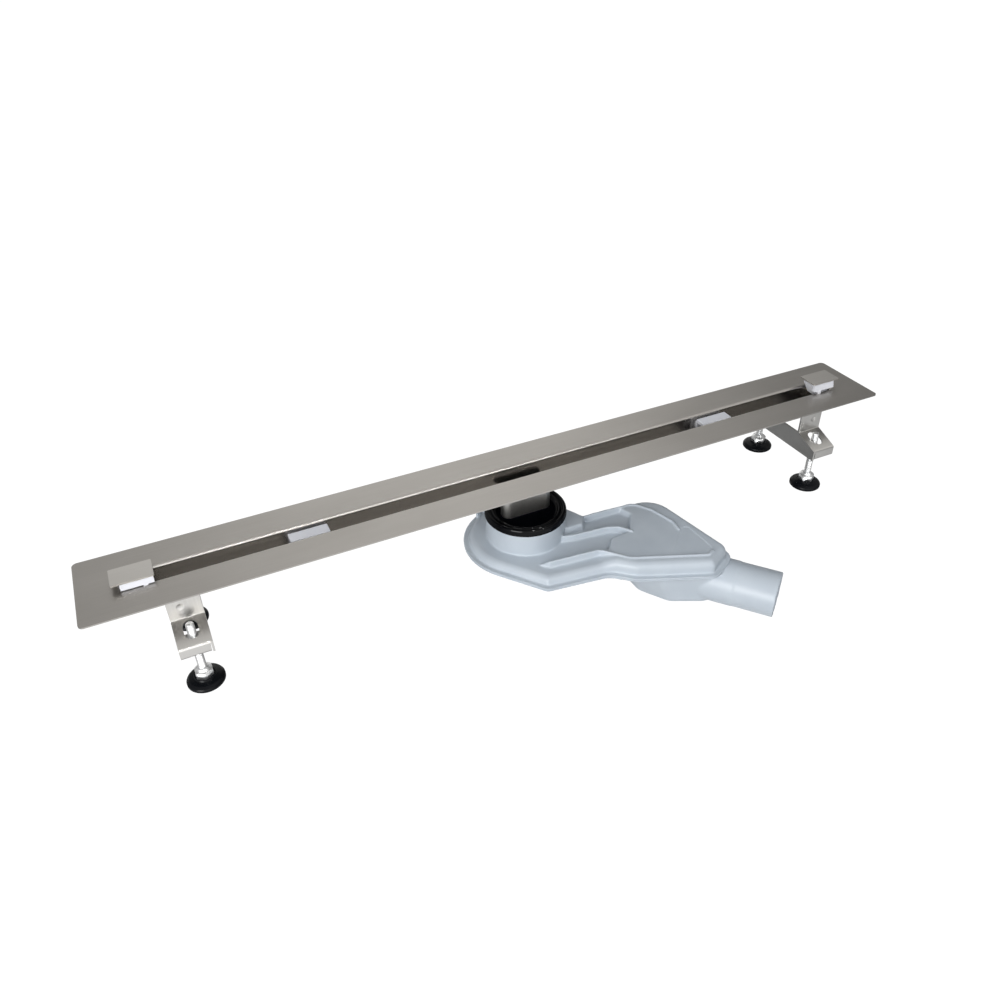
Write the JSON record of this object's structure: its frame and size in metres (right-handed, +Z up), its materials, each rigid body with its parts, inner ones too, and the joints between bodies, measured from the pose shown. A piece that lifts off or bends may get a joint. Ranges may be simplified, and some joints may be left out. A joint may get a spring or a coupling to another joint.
{
  "type": "linear shower drain",
  "caption": "Folded steel channel with a flat flange and a long slot, standing on levelling feet, with a flat swivelling odour trap and side outlet under it.",
  "frame": {"origin": "middle of the whole part in plan, on the level of its lowest point", "axes": "+X runs along the channel to the end the outlet pipe points to, +Y from the outlet side to the back, +Z up"},
  "size_m": [0.9, 0.268, 0.1561],
  "materials": {
    "stainless": "satin stainless sheet",
    "rubber": "smooth black rubber",
    "grey_plastic": "softly shining light grey moulding",
    "white_plastic": "white moulding",
    "zinc_steel": "bright zinc plating",
    "black_plastic": "glossy black moulding"
  },
  "bodies": {
    "channel": {"channel_tray": "stainless", "outlet_spigot": "stainless", "seal_ring": "rubber", "bracket_left": "stainless", "bracket_right": "stainless", "end_holder_left": "white_plastic", "end_holder_right": "white_plastic", "end_plate_left": "stainless", "end_plate_right": "stainless", "slot_spacer_left": "white_plastic", "slot_spacer_right": "white_plastic", "foot_nut_front_left": "zinc_steel", "foot_nut_front_right": "zinc_steel", "foot_nut_back_left": "zinc_steel", "foot_nut_back_right": "zinc_steel"},
    "trap": {"trap_upper_shell": "grey_plastic", "trap_lower_shell": "grey_plastic"},
    "foot_front_left": {"foot_stud_front_left": "zinc_steel", "foot_pad_front_left": "black_plastic"},
    "foot_front_right": {"foot_stud_front_right": "zinc_steel", "foot_pad_front_right": "black_plastic"},
    "foot_back_left": {"foot_stud_back_left": "zinc_steel", "foot_pad_back_left": "black_plastic"},
    "foot_back_right": {"foot_stud_back_right": "zinc_steel", "foot_pad_back_right": "black_plastic"}
  },
  "joints": [
    {"name": "trap_swivel", "type": "hinge", "parent": "channel", "child": "trap", "pos_m": [0, 0.06402, 0.075], "axis": [0, 0, 1], "continuous": true},
    {"name": "level_front_left", "type": "slide", "parent": "channel", "child": "foot_front_left", "axis": [0, 0, 1], "range_m": [-0.016, 0.028]},
    {"name": "level_front_right", "type": "slide", "parent": "channel", "child": "foot_front_right", "axis": [0, 0, 1], "range_m": [-0.016, 0.028]},
    {"name": "level_back_left", "type": "slide", "parent": "channel", "child": "foot_back_left", "axis": [0, 0, 1], "range_m": [-0.016, 0.028]},
    {"name": "level_back_right", "type": "slide", "parent": "channel", "child": "foot_back_right", "axis": [0, 0, 1], "range_m": [-0.02, 0.024]}
  ]
}
